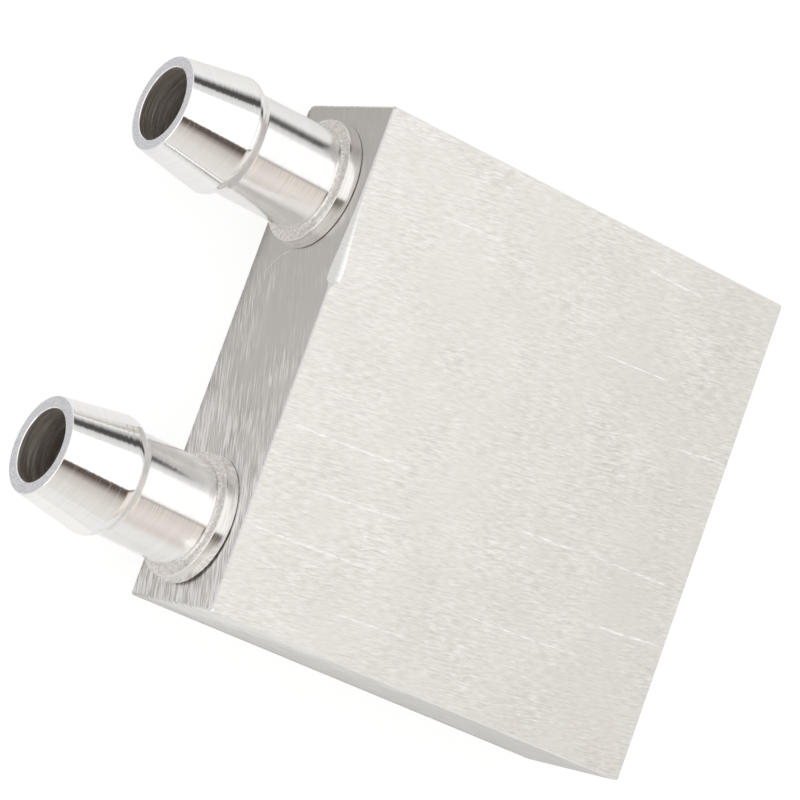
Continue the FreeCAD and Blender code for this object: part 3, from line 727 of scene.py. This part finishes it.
def makeBlock():
    b = block
    low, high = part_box("block_body")
    x0, y0, x1, y1 = low.x / mm, low.y / mm, high.x / mm, high.y / mm
    top = high.z / mm
    # The envelope that breaks the edges is a closed skin of four rings. Each follows a rounded rectangle,
    # walked by its length: ring point = edge point + offset * outward direction, at the ring's height
    r = b["corner"]
    runX, runY, arc = (x1 - x0) - 2 * r, (y1 - y0) - 2 * r, math.pi / 2 * r
    starts = np.cumsum([0, runY, arc, runX, arc, runY, arc, runX, arc])
    walk = np.arange(0, starts[-1], b["step"])
    part = np.searchsorted(starts, walk, side="right") - 1
    along = walk - starts[part]
    side = part // 2  # 0 nozzle face, 1 -Y side, 2 far face, 3 +Y side
    onArc = part % 2 == 1
    facing = np.pi + side * np.pi / 2 + np.where(onArc, along / r, 0)
    outward = np.stack([np.cos(facing), np.sin(facing)], -1)
    runEnd = np.array([(x0 + r, y0 + r), (x1 - r, y0 + r), (x1 - r, y1 - r), (x0 + r, y1 - r)])
    runStart = np.roll(runEnd, 1, 0)
    direction = (runEnd - runStart) / np.linalg.norm(runEnd - runStart, axis=1)[:, None]
    onRun = runStart[side] + direction[side] * np.where(onArc, 0, along)[:, None]
    edge = np.where(onArc[:, None], runEnd[side], onRun) + outward * r  # on the block's own wall
    # legs of the broken edges, top and bottom: an even break that wavers, small burrs, and the filed stretch
    legTop = b["break"] + b["waver"] * wander(walk, *b["topWaver"]) + b["burr"] * wander(walk, *b["topBurr"])
    legLow = b["break"] + b["waver"] * wander(walk, *b["lowWaver"]) + b["burr"] * wander(walk, *b["lowBurr"])
    filed = np.interp(edge[:, 1], b["filedAt"], b["filedLeg"]) + b["burr"] * wander(walk, *b["filedBurr"])
    legTop = np.maximum(legTop, np.where((side == 0) & ~onArc, filed, 0))
    m, level = b["margin"], np.ones(len(walk))
    rings = [(-(legLow + m), -m * level), (m * level, legLow + m), (m * level, top - legTop - m),
             (-(legTop + m), (top + m) * level)]
    points = [np.concatenate([edge + outward * offset[:, None], height[:, None]], 1)
              for offset, height in rings]
    count = len(walk)
    here = np.arange(count)
    after = (here + 1) % count
    skin = [np.stack([first + here, first + after, first + count + after, first + count + here], -1)
            for first in (0, count, 2 * count)]
    faces = np.concatenate(skin).tolist() + [list(range(count))[::-1], list(range(3 * count, 4 * count))]
    envelope = meshPiece("edgeEnvelope", np.concatenate(points) * mm, faces, [], smooth=False)
    ball, faces = lumpyBall(knock, (x0, y1, 0), (-1, 1, -1))
    knockBall = meshPiece("cornerKnock", ball * mm, faces, [], smooth=False)

    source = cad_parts["block_body"]
    body = bpy.data.objects.new("blockBody", source.data.copy())
    bpy.context.scene.collection.objects.link(body)
    body.data.materials.clear()
    shape = bmesh.new()
    shape.from_mesh(body.data)
    bmesh.ops.remove_doubles(shape, verts=shape.verts, dist=b["merge"] * mm)
    bmesh.ops.dissolve_limit(shape, angle_limit=math.radians(b["flat"]), verts=shape.verts, edges=shape.edges)
    shape.to_mesh(body.data)
    shape.free()
    for operation, tool in (("INTERSECT", envelope), ("DIFFERENCE", knockBall)):
        cut = body.modifiers.new("brokenEdges", "BOOLEAN")
        cut.operation, cut.solver, cut.object = operation, "EXACT", tool
    made = bpy.data.meshes.new_from_object(body.evaluated_get(bpy.context.evaluated_depsgraph_get()))
    body.modifiers.clear()
    body.data = made
    shape = bmesh.new()  # slivers left by the cuts
    shape.from_mesh(made)
    bmesh.ops.remove_doubles(shape, verts=shape.verts, dist=b["sliver"] * mm)
    bmesh.ops.dissolve_degenerate(shape, dist=b["merge"] * mm, edges=shape.edges)
    shape.to_mesh(made)
    shape.free()
    bpy.data.objects.remove(envelope)
    bpy.data.objects.remove(knockBall)

    # which finish each face gets, from where it looks and where it lies
    number = len(made.polygons)
    normal, centre = np.empty(number * 3), np.empty(number * 3)
    made.polygons.foreach_get("normal", normal)
    made.polygons.foreach_get("center", centre)
    normal, centre = normal.reshape(-1, 3), centre.reshape(-1, 3) / mm
    walls = [centre[:, 0] - x0, x1 - centre[:, 0], centre[:, 1] - y0, y1 - centre[:, 1], top - centre[:, 2],
             centre[:, 2]]
    nearWall = np.minimum.reduce(walls) < b["edgeZone"]
    straight, upright, touching = 0.99, 0.02, 0.01  # two parts of a normal, and mm
    coldFace, nozzleFace, sides, filedEdge, inside, farFace = range(6)
    kind = np.full(number, inside)
    kind[nearWall] = filedEdge
    kind[nearWall & (np.abs(normal[:, 2]) < upright)] = sides
    kind[(normal[:, 0] < -straight) & (centre[:, 0] < x0 + touching)] = nozzleFace
    kind[(normal[:, 0] > straight) & (centre[:, 0] > x1 - touching)] = farFace
    kind[(normal[:, 2] > straight) & (centre[:, 2] > top - touching)] = coldFace
    kind[(normal[:, 2] < -straight) & (centre[:, 2] < touching)] = sides
    made.materials.clear()
    for material in (coldFaceFinish, nozzleFaceFinish, sideFinish, filedFinish, milledFinish, endFinish):
        made.materials.append(material)
    made.polygons.foreach_set("material_index", kind.astype(np.int32))
    made.shade_smooth()
    made.set_sharp_from_angle(angle=math.radians(b["sharp"]))
    print("block faces", number, "by finish", np.bincount(kind).tolist())
    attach(body, "root")
    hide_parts("block_body")


makeBlock()


# CAD nodes that keep their shape

coverGrain = dict(coldFaceGrain, along=heading(88, alongX, alongY))
coverFinish = brushedAluminium("brushedAluminiumCover", coverGrain)
for node, finish in (("cover_plate", coverFinish), ("cover_bond_line", sealantFinish)):
    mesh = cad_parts[node].data
    mesh.materials.clear()
    mesh.materials.append(finish)
print("cover and bond line finished")
